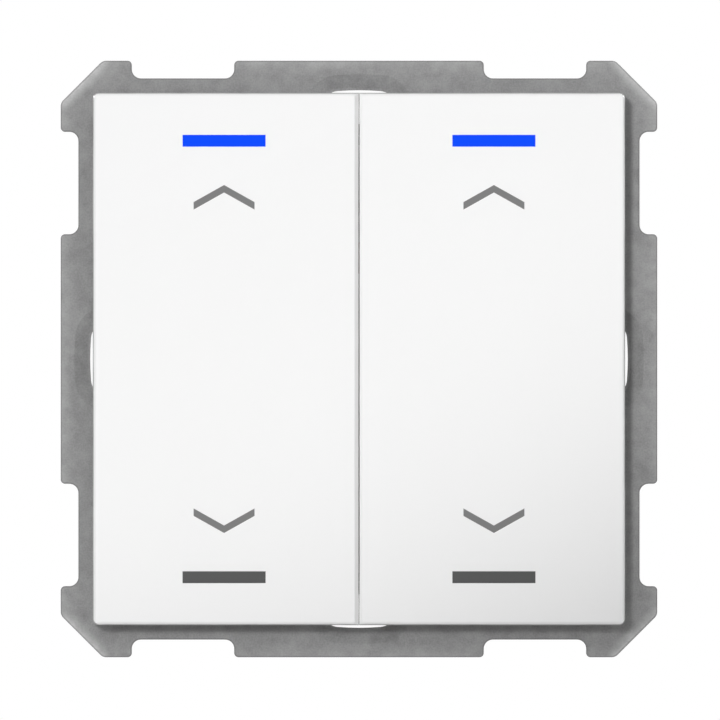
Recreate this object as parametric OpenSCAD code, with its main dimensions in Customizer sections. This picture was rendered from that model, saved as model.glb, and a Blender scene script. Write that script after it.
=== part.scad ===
// Flush-mounted push-button sensor with two rockers.
// It is drawn lying flat, looking at its face: x to the right, y up the wall, z out of the wall.
// The wall plane is z = 0. The last step stands it up, so that it faces -Y with +Z up.

/* [Rockers] */
// Width and height of the two rockers together
face_size = 63; // [61:0.5:68]
// Gap between the two rockers
rocker_gap = 0.25; // [0.2:0.05:0.5]
// Thickness of a rocker's face
face_t = 1.8; // [1.4:0.1:2.4]
// Thickness of a rocker's skirt
skirt_t = 1.4; // [1.1:0.1:1.7]
// Room between a fully tilted skirt and the support ring
skirt_clear = 3.3; // [2:0.1:3.8]
// Radius of the rockers' outer corners
corner_r = 0.7; // [0.5:0.1:1.2]
// Rounding of the face's edges
edge_r = 0.4; // [0.2:0.05:0.45]
// Thickness of the stiffening ribs
rib_t = 1.2; // [0.8:0.1:1.5]

/* [Travel] */
// Tilt of a rocker from rest to its stop, in degrees
tilt_max = 1.8; // [1.2:0.1:2.2]

/* [Light windows] */
// Width of a light window
window_w = 9.8; // [8:0.1:10.5]
// Height of a light window
window_h = 1.35; // [1:0.05:1.6]
// Distance of a window's middle from the rocker's upper or lower edge
window_inset = 5.6; // [5.4:0.1:6]
// Sideways shift of the windows from the middle of their rocker
window_shift = 0.2; // [0:0.05:0.4]
// Rim that a lens has behind the face, around its window
lens_rim = 0.8; // [0.5:0.1:1]
// Thickness of that rim
lens_rim_t = 0.8; // [0.6:0.1:1]

/* [Support ring] */
// Width of ring that shows on each side of the rockers
ring_border = 4; // [3.6:0.1:5]
// Thickness of the sheet
ring_t = 1.2; // [1:0.1:1.6]
// Length cut from each side at the corners
ring_chamfer = 5; // [3:0.5:6]
// Width of the tab in the middle of each side
tab_w = 29.7; // [24:0.1:32]
// Width of the notches beside the tab
notch_w = 12.2; // [10:0.1:12.4]
// Depth of the notches
notch_depth = 2.1; // [1.2:0.1:2.4]
// Radius at the bottom of a notch
notch_r = 1.1; // [0.6:0.1:1.15]
// Radius of the ears and the tab at a notch
ear_r = 0.5; // [0.3:0.1:0.9]
// Radius where a cut corner meets the sides
ring_corner_r = 1; // [0.4:0.1:2]
// Distance of a screw slot's middle from the ring's edge
slot_inset = 5.5; // [5.2:0.1:6.2]
// Width of a screw slot
slot_w = 4; // [3.4:0.1:4.2]
// Length of a screw slot from end to end
slot_len = 8.8; // [7:0.1:9]
// Width of the sunk seat around a screw slot
dish_w = 1.7; // [1:0.1:1.8]
// Depth of that seat
dish_depth = 0.35; // [0.2:0.05:0.5]

/* [Rocker bearings] */
// Radius of the axle bars
axle_r = 1.2; // [1:0.05:1.3]
// Height of the axles' middle over the cover's plate
axle_rise = 0.6; // [0.5:0.05:1]
// Distance of the inner axle bars from the middle
axle_in_x = 6; // [5.2:0.1:6.4]
// Distance of the outer axle bars from the middle of the screw slots
axle_inset = 8.5; // [8:0.1:9]
// Wall of the clips that snap over the axle bars
clip_wall = 1.15; // [0.9:0.05:1.3]
// Width of a clip along its axle
clip_w = 3.6; // [3:0.1:4]
// Thickness of the cheeks that hold an axle bar
cheek_t = 1.2; // [1:0.1:1.4]

/* [Plungers and contacts] */
// Distance of a plunger's middle from that of its window
plunger_to_window = 5.9; // [5.7:0.1:6.6]
// Radius of a plunger's stem
stem_r = 1.5; // [1.2:0.05:1.6]
// Radius of a plunger's collar
collar_r = 2.6; // [2.45:0.05:2.7]
// Thickness of the collar
collar_t = 0.7; // [0.5:0.05:1]
// Radius of the nub that presses the contact dome
nub_r = 0.9; // [0.6:0.05:1.1]
// Length of that nub
nub_len = 0.8; // [0.6:0.05:1.2]
// Free way from the nub to the dome
press_gap = 0.45; // [0.35:0.05:0.55]
// Height that the guide stands over the cover's plate
guide_h = 0.8; // [0.4:0.1:1]
// Length of stem that is left over the guide when the plunger is pressed in
stem_over = 0.45; // [0.35:0.05:0.6]
// Height of the pad under a rocker's face that meets the plunger
pad_h = 1.4; // [1.3:0.1:1.8]
// Radius of a contact dome
dome_r = 1.75; // [1.4:0.05:1.8]
// Height of a contact dome
dome_h = 0.5; // [0.4:0.05:0.6]
// Thickness of the dome's sheet
dome_t = 0.12; // [0.08:0.01:0.15]
// Wire diameter of a return spring
spring_wire = 0.25; // [0.2:0.01:0.28]
// Middle radius of a return spring
spring_r = 2.08; // [2.05:0.01:2.2]
// Turns of a return spring
spring_turns = 3; // [2:0.5:3.5]

/* [Cover] */
// Gap between the rockers' skirts and the cover
module_gap = 1.1; // [0.8:0.1:1.2]
// Wall of the cover
cover_wall = 1.4; // [1:0.1:1.5]
// Thickness of the cover's front plate
plate_t = 1.2; // [1:0.1:1.8]
// Corner radius of the cover and the flange
module_r = 3; // [2:0.1:3.4]
// Radius of the bays that leave the screw slots free
bay_r = 4.6; // [4.5:0.05:4.7]
// Sideways distance of a housing screw from the plunger next to it
screw_aside = 6; // [5.9:0.1:6.3]
// Upright distance of a housing screw from the window next to it
screw_inset = 3.9; // [3.7:0.1:4.2]
// Radius of the screw bosses
boss_r = 2.2; // [1.7:0.05:2.3]

/* [Flush insert] */
// Thickness of the flange in front of the ring
flange_t = 1.2; // [1:0.1:1.6]
// Depth of the cup behind the wall plane
cup_depth = 22; // [21:0.5:28]
// Wall of the cup
cup_wall = 1.6; // [1.2:0.1:2]
// Thickness of the cup's floor
floor_t = 1.6; // [1.2:0.1:2]
// Room between the cup and the screw slots
cup_margin = 2.5; // [2.3:0.1:3.2]
// Slope along the cup's rear edge
cup_chamfer = 1.2; // [0.6:0.1:1.4]
// Number of ribs around the cup
cup_ribs = 12; // [8:4:20]

/* [Electronics] */
// Thickness of the control board
board_t = 1; // [0.8:0.1:1.6]
// Height of a light diode
led_h = 0.8; // [0.6:0.1:1]
// Thickness of the bus board
bus_board_t = 1.6; // [1.2:0.1:2]
// Radius of the housing screws
screw_r = 1; // [0.9:0.05:1.05]

/* [Programming button] */
// Distance of the programming button below the middle of the upper screw slot
prog_inset = 18; // [17:0.5:20]
// Radius of the programming button
prog_r = 1.8; // [1.4:0.05:2]
// Travel of the programming button
prog_travel = 0.4; // [0.3:0.05:0.42]

/* [Bus terminal] */
// Width of one half of the terminal
term_w = 6.15; // [5.8:0.05:6.4]
// Height of the terminal
term_h = 10; // [9.5:0.1:11]
// Length of the terminal
term_len = 11.4; // [10.5:0.1:13]
// Depth of the pocket that it plugs into
pocket_depth = 7; // [6:0.1:7.4]
// Distance of the terminal's middle below that of the insert
term_drop = 10; // [8:0.5:11]
// Radius of the wire entries
wire_r = 0.7; // [0.5:0.05:0.8]
// Sideways distance between wire entries
wire_dx = 2.8; // [2.2:0.1:3]
// Upright distance between wire entries
wire_dy = 4.4; // [3.6:0.1:5]

/* [Hidden] */
$fn = 48;
// How far joined solids reach into each other, and how far a cut passes a face
join = 0.2;

// Clearances
run_gap = 0.05; // axle in its clip
slide_gap = 0.08; // plungers and the programming button in their bores
fit_gap = 0.1; // pieces that are set into each other
thread_gap = 0.03; // a screw in its boss, a lens in its rocker
touch_gap = 0.1; // plunger tip to the rocker's pad
stop_gap = 0.12; // collar to plate at the plunger's outer limit
pass_gap = 0.3; // pieces that move past each other

// Plan
half = face_size / 2;
ring_size = face_size + 2 * ring_border;
slot_pitch = ring_size - 2 * slot_inset;
module_size = face_size - 2 * (skirt_t + module_gap);
cup_r = slot_pitch / 2 - slot_w / 2 - cup_margin;
rocker_mid = (half + rocker_gap / 2) / 2;
window_x = rocker_mid + window_shift;
window_y = half - window_inset;
plunger_y = window_y - plunger_to_window;
screw_x = window_x + screw_aside;
screw_y = window_y - screw_inset;
axle_out_x = slot_pitch / 2 - axle_inset;
board_size = module_size - 2 * (cover_wall + fit_gap);

// Travel at the plungers, the windows and the rockers' ends
travel = plunger_y * sin(tilt_max);
window_travel = (window_y + window_h / 2 + lens_rim) * sin(tilt_max);
edge_travel = half * sin(tilt_max);
module_travel = module_size / 2 * sin(tilt_max);

// Solid left between a clip's round and the rocker's face
clip_root = 0.4;

// Levels above the wall plane, from the wall out
board_z = ring_t + flange_t;
board_top = board_z + board_t;
nub_z = board_top + dome_h + press_gap;
collar_z = nub_z + nub_len;
plate_in = collar_z + collar_t + travel + stop_gap;
plate_z = plate_in + plate_t;
pivot_z = plate_z + axle_rise;
clip_r = axle_r + run_gap + clip_wall;
guide_top = plate_z + guide_h;
tip_z = guide_top + travel + stem_over;
pad_z = tip_z + touch_gap;
face_in = max(pad_z + pad_h, pivot_z + clip_r + clip_root);
face_front = face_in + face_t;
skirt_z = ring_t + edge_travel + skirt_clear;
seam_z = plate_z + module_travel + pass_gap + slide_gap;
rib_z = pad_z + slide_gap;
lens_z = face_in - lens_rim_t;

// Bearings
cheek_over = 0.4;
cheek_top = pivot_z + axle_r + cheek_over;
cheek_half = clip_w / 2 + pass_gap;
cheek_y = 5;
cheek_r = 1;
snap = 0.45;
mouth_w = 2 * axle_r - snap;

// Light pipes
pipe_gap = 0.2;
pipe_z = board_top + led_h + pipe_gap;
pipe_top = lens_z - window_travel - pipe_gap;
pipe_h = window_h + 0.25;
pipe_foot_w = 4;
pipe_rim = 0.6;
pipe_rim_t = 0.8;
led_w = 3.5;
led_d = 2.8;

// Programming button and its light
prog_top = guide_top;
prog_collar_t = 0.8;
prog_nub_z = board_top + dome_h + prog_travel + 0.05;
prog_y = slot_pitch / 2 - prog_inset;
prog_led_rise = 6;
prog_led_y = prog_y + prog_led_rise;
prog_led_w = 2;
prog_led_d = 1.25;
prog_pipe_r = 0.9;

// Insert, seen from the wall plane backwards
floor_z = -cup_depth;
pocket_z = floor_z + pocket_depth;
pocket_wall = 1.2;
bus_board_z = pocket_z + pocket_wall + 1.2;
bus_board_top = bus_board_z + bus_board_t;
bus_board_r = cup_r - cup_wall - 1;
term_gap = 0.1;
pin_r = 0.5;
pin_out = 5;
post_r = 1.8;
post_ring = bus_board_r - 3;
key_w = 6;
key_d = 1;
rib_w = 1.6;
rib_d = 0.6;
rib_from_floor = 3;

// Parts on the boards
chip_w = 7;
chip_t = 1;
header_n = 5;
header_dx = 2.54;
header_inset = 8.9;
header_y = bus_board_r - header_inset;
header_w = header_n * header_dx;
header_d = 2 * header_dx;
header_body_t = 2.5;
header_pin_r = 0.32;
header_pin_len = 5;
socket_gap = 1.2;
socket_hole = 6;
socket_top = board_z - header_body_t - socket_gap;
part_drop = 2;
part_inset = 11.9;
part_x = bus_board_r - part_inset;
cap_r = 4;
cap_h = 9;
cap_neck_z = 1.2;
cap_neck_h = 0.6;
cap_neck_d = 0.3;
coil_r = 4.5;
coil_h = 6;
coil_rim = 1;
coil_wire_d = 0.7;

// Wire entries of the terminal
wire_depth = 7;

// Stands the flat drawing up against the wall
module stand_up() {
    rotate([90, 0, 0]) children();
}

// Repeats a piece at all four sides, from the right-hand one
module at_four_sides() {
    for (turn = [0:3]) rotate([0, 0, 90 * turn]) children();
}

// Puts a piece at the four housing screws
module at_screws() {
    for (sx = [-1, 1], sy = [-1, 1]) translate([sx * screw_x, sy * screw_y, 0]) children();
}

// Square with rounded corners, about the origin
module round_square(size, r) {
    square([size, size - 2 * r], center = true);
    square([size - 2 * r, size], center = true);
    for (sx = [-1, 1], sy = [-1, 1])
        translate([sx * (size / 2 - r), sy * (size / 2 - r)]) circle(r = r);
}

// Upright section with its two front corners rounded, from a to b and from z0 up to z1
module front_rounded(a, b, z0, z1, r) {
    translate([a, z0]) square([b - a, z1 - z0 - r]);
    translate([a + r, z0]) square([b - a - 2 * r, z1 - z0]);
    for (x = [a + r, b - r]) translate([x, z1 - r]) circle(r = r);
}

// What is left of a square corner outside its rounding, with the corner at the origin
module corner_waste(r) {
    difference() {
        translate([-r, -r]) square([2 * r, 2 * r]);
        translate([-r, -r]) circle(r = r);
        translate([-2 * r, -2 * r]) square([r, 4 * r]);
        translate([-2 * r, -2 * r]) square([4 * r, r]);
    }
}

// Curved slot on the ring's screw circle, at the right-hand side, grown by a margin, from z0 to z1
module arc_slot(margin, z0, z1) {
    w = slot_w / 2 + margin;
    turn = asin((slot_len - slot_w) / slot_pitch);
    rotate([0, 0, -turn]) rotate_extrude(angle = 2 * turn)
        translate([slot_pitch / 2 - w, z0]) square([2 * w, z1 - z0]);
    for (s = [-1, 1]) rotate([0, 0, s * turn]) translate([slot_pitch / 2, 0, z0])
        cylinder(r = w, h = z1 - z0);
}

// One notch in the ring's right-hand edge, seen with its mouth at x = 0
module edge_notch() {
    translate([-notch_depth + notch_r, -notch_w / 2])
        square([notch_depth - notch_r + join, notch_w]);
    translate([-notch_depth, -notch_w / 2 + notch_r])
        square([notch_depth, notch_w - 2 * notch_r]);
    for (s = [-1, 1])
        translate([-notch_depth + notch_r, s * (notch_w / 2 - notch_r)]) circle(r = notch_r);
    translate([0, notch_w / 2]) mirror([0, 1]) corner_waste(ear_r);
    translate([0, -notch_w / 2]) corner_waste(ear_r);
}

// Square with cut corners whose edges are rounded, about the origin
module cut_square(size, cut, r) {
    h = size / 2 - r;
    c = cut - r * (2 - sqrt(2));
    at_four_sides() {
        translate([0, -h + c]) square([size / 2, 2 * (h - c)]);
        rotate(45) translate([0, -c / sqrt(2)]) square([(size - cut) / sqrt(2), c * sqrt(2)]);
        for (s = [-1, 1]) translate([h, s * (h - c)]) circle(r = r);
    }
}

// Sheet-steel ring with notched sides, cut corners and four sunk screw slots
module support_ring() {
    notch_y = tab_w / 2 + notch_w / 2;
    color("darkgray") difference() {
        linear_extrude(ring_t) cut_square(ring_size, ring_chamfer, ring_corner_r);
        at_four_sides() {
            for (s = [-1, 1]) translate([ring_size / 2, s * notch_y, -join])
                linear_extrude(ring_t + 2 * join) edge_notch();
            arc_slot(0, -join, ring_t + join);
            arc_slot(dish_w, ring_t - dish_depth, ring_t + join);
        }
        translate([0, 0, -join]) cylinder(r = cup_r + pass_gap, h = ring_t + 2 * join);
        for (s = [-1, 1])
            translate([-key_w / 2 - fit_gap, s * (cup_r + key_d / 2) - key_d / 2 - fit_gap, -join])
                cube([key_w + 2 * fit_gap, key_d + 2 * fit_gap, ring_t + 2 * join]);
        at_screws() screw_sink();
    }
}

// Countersunk hole in the ring's back for a housing screw
module screw_sink() {
    translate([0, 0, -join]) cylinder(r = screw_r + fit_gap, h = ring_t + 2 * join);
    translate([0, 0, -thread_gap])
        cylinder(r1 = 2 * screw_r + fit_gap + thread_gap, r2 = screw_r + fit_gap, h = screw_r + thread_gap);
}

// Square prism with rounded corners and a bay at each screw slot
module bayed_prism(size, r, bay, z0, z1) {
    difference() {
        translate([0, 0, z0]) linear_extrude(z1 - z0) round_square(size, r);
        at_four_sides() translate([slot_pitch / 2, 0, z0 - join])
            cylinder(r = bay, h = z1 - z0 + 2 * join);
    }
}

// Moulded cup with a square flange in front of the ring and a terminal pocket at the back
module insert_housing() {
    color("dimgray") difference() {
        union() {
            bayed_prism(module_size, module_r, bay_r, ring_t, board_z);
            translate([0, 0, floor_z + cup_chamfer])
                cylinder(r = cup_r, h = cup_depth - cup_chamfer + ring_t + join);
            translate([0, 0, floor_z])
                cylinder(r1 = cup_r - cup_chamfer, r2 = cup_r, h = cup_chamfer);
            for (s = [-1, 1])
                translate([-key_w / 2, s * cup_r - key_d, 0]) cube([key_w, 2 * key_d, ring_t + join]);
        }
        cup_cavity();
        translate([-term_w - term_gap, -term_drop - term_h / 2 - term_gap, floor_z - join])
            cube([2 * (term_w + term_gap), term_h + 2 * term_gap, pocket_depth + join]);
        for (sx = [-1, 1])
            translate([sx * term_w / 2, -term_drop, pocket_z - join])
                cylinder(r = pin_r + fit_gap, h = pocket_wall + 2 * join);
        at_screws() translate([0, 0, ring_t - join])
            cylinder(r = screw_r + fit_gap, h = flange_t + 2 * join);
        cup_grooves();
    }
}

// Grooves between the ribs around the cup
module cup_grooves() {
    top = -1.5;
    for (i = [0:cup_ribs - 1]) rotate([0, 0, 360 / cup_ribs * (i + 0.5)])
        translate([cup_r - rib_d, -rib_w / 2, floor_z + rib_from_floor])
            cube([rib_d + join, rib_w, top - floor_z - rib_from_floor]);
}

// Inside of the cup, leaving the pocket's walls and the posts for the bus board
module cup_cavity() {
    difference() {
        translate([0, 0, floor_z + floor_t])
            cylinder(r = cup_r - cup_wall, h = cup_depth - floor_t + board_z + join);
        translate([-term_w - term_gap - pocket_wall, -term_drop - term_h / 2 - term_gap - pocket_wall, floor_z])
            cube([
                2 * (term_w + term_gap + pocket_wall),
                term_h + 2 * (term_gap + pocket_wall),
                pocket_depth + pocket_wall
            ]);
        for (a = [30, 150, 270]) rotate([0, 0, a]) translate([post_ring, 0, floor_z])
            cylinder(r = post_r, h = bus_board_z - floor_z);
    }
}

// Cover over the control board, with the axle bars and the plunger guides
module front_cover() {
    color("gainsboro") difference() {
        union() {
            cover_shell();
            at_screws() translate([0, 0, board_top]) cylinder(r = boss_r, h = plate_in - board_top + join);
            at_plungers() translate([0, 0, plate_z - join])
                cylinder(r = collar_r, h = guide_h + join);
            at_bearings() cheeks();
        }
        at_plungers() translate([0, 0, plate_in - join])
            cylinder(r = stem_r + slide_gap, h = guide_top - plate_in + 2 * join);
        at_screws() translate([0, 0, board_top - join])
            cylinder(r = screw_r + thread_gap, h = plate_in - board_top);
        at_windows() translate([-window_w / 2 - fit_gap, -pipe_h / 2 - fit_gap, plate_in - join])
            cube([window_w + 2 * fit_gap, pipe_h + 2 * fit_gap, plate_t + 2 * join]);
        translate([0, prog_y, plate_in - join])
            cylinder(r = prog_r + slide_gap, h = plate_t + 2 * join);
        translate([0, prog_led_y, plate_in - join])
            cylinder(r = prog_pipe_r + thread_gap, h = plate_t + 2 * join);
    }
}

// The cover's walls and plate, with a window under each axle bar
module cover_shell() {
    difference() {
        bayed_prism(module_size, module_r, bay_r, board_z, plate_z);
        bayed_prism(module_size - 2 * cover_wall, module_r - cover_wall, bay_r + cover_wall,
            board_z - join, plate_in);
        at_bearings() translate([-cheek_half, -clip_r - pass_gap, plate_in - join])
            cube([2 * cheek_half, 2 * (clip_r + pass_gap), plate_t + 2 * join]);
    }
}

// Two cheeks with the axle bar between them, about the origin in plan
module cheeks() {
    for (s = [-1, 1]) translate([s * (cheek_half + cheek_t / 2) - cheek_t / 2, 0, 0]) {
        translate([0, -cheek_y / 2, plate_in])
            cube([cheek_t, cheek_y, cheek_top - plate_in - cheek_r]);
        translate([0, -cheek_y / 2 + cheek_r, plate_in])
            cube([cheek_t, cheek_y - 2 * cheek_r, cheek_top - plate_in]);
        for (y = [-cheek_y / 2 + cheek_r, cheek_y / 2 - cheek_r]) translate([0, y, cheek_top - cheek_r])
            rotate([0, 90, 0]) cylinder(r = cheek_r, h = cheek_t);
    }
    translate([-cheek_half - cheek_t / 2, 0, pivot_z]) rotate([0, 90, 0])
        cylinder(r = axle_r, h = 2 * cheek_half + cheek_t);
}

// Puts a piece at the four axle bars
module at_bearings() {
    for (s = [-1, 1], x = [axle_in_x, axle_out_x]) translate([s * x, 0, 0]) children();
}

// Puts a piece at the four plungers
module at_plungers() {
    for (sx = [-1, 1], sy = [-1, 1]) translate([sx * window_x, sy * plunger_y, 0]) children();
}

// Puts a piece at the four light windows
module at_windows() {
    for (sx = [-1, 1], sy = [-1, 1]) translate([sx * window_x, sy * window_y, 0]) children();
}

// Four countersunk screws that hold ring, insert, board and cover together
module housing_screws() {
    tip = plate_in - 0.6;
    socket_w = 0.5;
    color("silver") at_screws() difference() {
        union() {
            cylinder(r1 = 2 * screw_r, r2 = screw_r, h = screw_r);
            cylinder(r = screw_r, h = tip);
        }
        for (turn = [0, 90]) rotate([0, 0, turn])
            translate([-screw_r, -socket_w / 2, -join]) cube([2 * screw_r, socket_w, join + screw_r / 2]);
    }
}

// Rocker on one side: -1 is left and 1 is right
module rocker(side) {
    color("whitesmoke") mirror([side < 0 ? 1 : 0, 0, 0]) difference() {
        union() {
            difference() {
                rocker_outside();
                rocker_inside();
            }
            rocker_ribs();
            for (x = [axle_in_x, axle_out_x]) translate([x, 0, 0]) clip();
        }
        for (s = [-1, 1])
            translate([window_x - window_w / 2 - thread_gap, s * window_y - window_h / 2 - thread_gap, lens_z])
                cube([window_w + 2 * thread_gap, window_h + 2 * thread_gap, face_front]);
    }
}

// Outer form of the right-hand rocker: its plan cut by two sections with rounded front edges
module rocker_outside() {
    a = rocker_gap / 2;
    intersection() {
        translate([0, 0, skirt_z]) linear_extrude(face_front - skirt_z) {
            translate([a, -half]) square([half - corner_r - a, face_size]);
            translate([a, -half + corner_r]) square([half - a, face_size - 2 * corner_r]);
            for (s = [-1, 1]) translate([half - corner_r, s * (half - corner_r)]) circle(r = corner_r);
        }
        translate([0, half + join, 0]) rotate([90, 0, 0]) linear_extrude(face_size + 2 * join)
            front_rounded(a, half, skirt_z - join, face_front, edge_r);
        translate([-join, 0, 0]) rotate([90, 0, 90]) linear_extrude(half + 2 * join)
            front_rounded(-half, half, skirt_z - join, face_front, edge_r);
    }
}

// Hollow of the rocker, with a shorter skirt along the seam, where the cover lies under it
module rocker_inside() {
    a = rocker_gap / 2;
    translate([a + skirt_t, -half + skirt_t, skirt_z - join])
        cube([half - a - 2 * skirt_t, face_size - 2 * skirt_t, face_in - skirt_z + join]);
    translate([a - join, -half + skirt_t, skirt_z - join])
        cube([skirt_t + 2 * join, face_size - 2 * skirt_t, seam_z - skirt_z + join]);
}

// Ribs and plunger pads under the rocker's face
module rocker_ribs() {
    pad_over = 0.7;
    rib_y = window_y - window_h / 2 - lens_rim - pass_gap;
    top = face_in - rib_z + join;
    translate([window_x - rib_t / 2, -rib_y, rib_z]) cube([rib_t, 2 * rib_y, top]);
    for (s = [-1, 1]) {
        translate([rocker_gap / 2 + skirt_t - join, s * plunger_y / 2 - rib_t / 2, rib_z])
            cube([half - rocker_gap / 2 - 2 * skirt_t + 2 * join, rib_t, top]);
        translate([window_x, s * plunger_y, pad_z])
            cylinder(r = stem_r + pad_over, h = face_in - pad_z + join);
    }
}

// Spring clip around an axle bar, open towards the wall
module clip() {
    difference() {
        translate([-clip_w / 2, 0, 0]) union() {
            translate([0, 0, pivot_z]) rotate([0, 90, 0]) cylinder(r = clip_r, h = clip_w);
            translate([0, -clip_r, pivot_z]) cube([clip_w, 2 * clip_r, face_in - pivot_z + join]);
        }
        translate([-clip_w / 2 - join, 0, pivot_z]) rotate([0, 90, 0])
            cylinder(r = axle_r + run_gap, h = clip_w + 2 * join);
        translate([-clip_w / 2 - join, -mouth_w / 2, pivot_z - 2 * clip_r])
            cube([clip_w + 2 * join, mouth_w, 2 * clip_r]);
    }
}

// Light window of a rocker, set in from behind, with a rim under the face
module lens(sx, sy, tone) {
    color(tone) translate([sx * window_x, sy * window_y, 0]) {
        translate([-window_w / 2, -window_h / 2, lens_z]) cube([window_w, window_h, face_front - lens_z]);
        translate([-window_w / 2 - lens_rim, -window_h / 2 - lens_rim, lens_z])
            cube([window_w + 2 * lens_rim, window_h + 2 * lens_rim, lens_rim_t]);
    }
}

// Spring-loaded pin between a rocker and its contact dome
module plunger(sx, sy) {
    head = 0.5;
    color("white") translate([sx * window_x, sy * plunger_y, 0]) {
        translate([0, 0, nub_z]) cylinder(r = nub_r, h = nub_len + join);
        translate([0, 0, collar_z]) cylinder(r = collar_r, h = collar_t);
        translate([0, 0, collar_z]) cylinder(r = stem_r, h = tip_z - head - collar_z);
        translate([0, 0, tip_z - head]) cylinder(r1 = stem_r, r2 = stem_r - head, h = head);
    }
}

// Point on the spring's wire: t runs along the wire and a goes round it
function spring_point(t, a) = let (
    turn = 360 * spring_turns * t,
    rise = collar_z - board_top - spring_wire - 2 * thread_gap,
    r = spring_r + spring_wire / 2 * cos(a)
) [
    r * cos(turn),
    r * sin(turn),
    board_top + thread_gap + spring_wire / 2 * (1 + sin(a)) + rise * t
];

// Return spring of a plunger, as a wire swept along a helix
module return_spring(sx, sy) {
    sides = 6;
    steps = 18 * spring_turns;
    points = [for (i = [0:steps], j = [0:sides - 1]) spring_point(i / steps, 360 * j / sides)];
    first = [for (j = [0:sides - 1]) j];
    last = [for (j = [sides - 1:-1:0]) steps * sides + j];
    tube = [
        for (i = [0:steps - 1], j = [0:sides - 1])
            [i * sides + j, (i + 1) * sides + j, (i + 1) * sides + (j + 1) % sides, i * sides + (j + 1) % sides]
    ];
    color("lightsteelblue") translate([sx * window_x, sy * plunger_y, 0])
        polyhedron(points, concat([first], [last], tube), convexity = 6);
}

// Domed contact on the control board, centred on the origin in plan
module contact_dome() {
    r = (dome_r * dome_r + dome_h * dome_h) / (2 * dome_h);
    color("gold") intersection() {
        translate([0, 0, board_top + dome_h - r]) difference() {
            sphere(r = r);
            sphere(r = r - dome_t);
        }
        translate([0, 0, board_top]) cylinder(r = dome_r + join, h = dome_h + join);
    }
}

// Light pipe that carries a diode's light from the control board up through the cover
module light_pipe(sx, sy) {
    rim_z = plate_in - pipe_rim_t;
    w = window_w / 2;
    color("aliceblue") translate([sx * window_x, sy * window_y, 0]) {
        translate([0, pipe_h / 2, 0]) rotate([90, 0, 0]) linear_extrude(pipe_h) polygon([
            [-pipe_foot_w / 2, pipe_z], [pipe_foot_w / 2, pipe_z],
            [w, rim_z], [w, pipe_top], [-w, pipe_top], [-w, rim_z]
        ]);
        translate([-w - pipe_rim, -pipe_h / 2 - pipe_rim / 2, rim_z])
            cube([2 * (w + pipe_rim), pipe_h + pipe_rim, pipe_rim_t]);
    }
}

// Surface-mounted light diode under a light pipe
module diode(sx, sy) {
    color("ivory") translate([sx * window_x - led_w / 2, sy * window_y - led_d / 2, board_top])
        cube([led_w, led_d, led_h]);
}

// Small button for commissioning, reached once the rockers are off
module programming_button() {
    color("tomato") translate([0, prog_y, 0]) {
        translate([0, 0, prog_nub_z]) cylinder(r = nub_r, h = plate_in - prog_nub_z);
        translate([0, 0, plate_in - prog_collar_t]) cylinder(r = prog_r + 0.6, h = prog_collar_t);
        translate([0, 0, plate_in - prog_collar_t]) cylinder(r = prog_r, h = prog_top - plate_in + prog_collar_t);
    }
}

// Contact dome under the programming button
module programming_dome() {
    translate([0, prog_y, 0]) contact_dome();
}

// Diode that shows the commissioning state
module programming_diode() {
    color("crimson") translate([-prog_led_w / 2, prog_led_y - prog_led_d / 2, board_top])
        cube([prog_led_w, prog_led_d, led_h]);
}

// Short light pipe over that diode
module programming_light_pipe() {
    color("mistyrose") translate([0, prog_led_y, 0]) {
        translate([0, 0, pipe_z]) cylinder(r = prog_pipe_r, h = plate_z - pipe_z);
        translate([0, 0, plate_in - pipe_rim_t]) cylinder(r = prog_pipe_r + pipe_rim, h = pipe_rim_t);
    }
}

// Square board with the contacts and the diodes
module control_board() {
    r = module_r - cover_wall;
    color("seagreen") difference() {
        bayed_prism(board_size, r, bay_r + cover_wall + fit_gap, board_z, board_top);
        at_screws() translate([0, 0, board_z - join])
            cylinder(r = screw_r + fit_gap, h = board_t + 2 * join);
    }
}

// Controller on the back of the control board
module controller_chip() {
    color("black") translate([-chip_w / 2, -chip_w / 2, board_z - chip_t]) cube([chip_w, chip_w, chip_t]);
}

// Puts a piece at each contact of the connector between the boards
module at_header_pins() {
    for (i = [0:header_n - 1], s = [-1, 1])
        translate([(i - (header_n - 1) / 2) * header_dx, header_y + s * header_dx / 2, 0])
            children();
}

// Pin strip on the back of the control board
module board_header() {
    pin_end = socket_top - header_pin_len;
    color("goldenrod") {
        translate([-header_w / 2, header_y - header_d / 2, board_z - header_body_t])
            cube([header_w, header_d, header_body_t]);
        at_header_pins() translate([0, 0, pin_end])
            cylinder(r = header_pin_r, h = board_z - header_body_t - pin_end + join);
    }
}

// Socket strip on the front of the bus board
module board_socket() {
    color("darkslategray") difference() {
        translate([-header_w / 2, header_y - header_d / 2, bus_board_top])
            cube([header_w, header_d, socket_top - bus_board_top]);
        at_header_pins() translate([0, 0, socket_top - socket_hole])
            cylinder(r = header_pin_r + fit_gap, h = socket_hole + join);
    }
}

// Round board with the bus coupling
module bus_board() {
    color("forestgreen") translate([0, 0, bus_board_z]) difference() {
        cylinder(r = bus_board_r, h = bus_board_t);
        for (sx = [-1, 1]) translate([sx * term_w / 2, -term_drop, -join])
            cylinder(r = pin_r + fit_gap, h = bus_board_t + 2 * join);
    }
}

// Storage capacitor with a pinched neck, standing on the bus board
module bus_capacitor() {
    color("steelblue") translate([-part_x, -part_drop, bus_board_top]) difference() {
        cylinder(r = cap_r, h = cap_h);
        translate([0, 0, cap_neck_z]) difference() {
            cylinder(r = cap_r + join, h = cap_neck_h);
            translate([0, 0, -join]) cylinder(r = cap_r - cap_neck_d, h = cap_neck_h + 2 * join);
        }
    }
}

// Wound choke on a drum core, standing on the bus board
module bus_coil() {
    color("saddlebrown") translate([part_x, -part_drop, bus_board_top]) {
        cylinder(r = coil_r, h = coil_rim);
        cylinder(r = coil_r - coil_wire_d, h = coil_h);
        translate([0, 0, coil_h - coil_rim]) cylinder(r = coil_r, h = coil_rim);
    }
}

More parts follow.
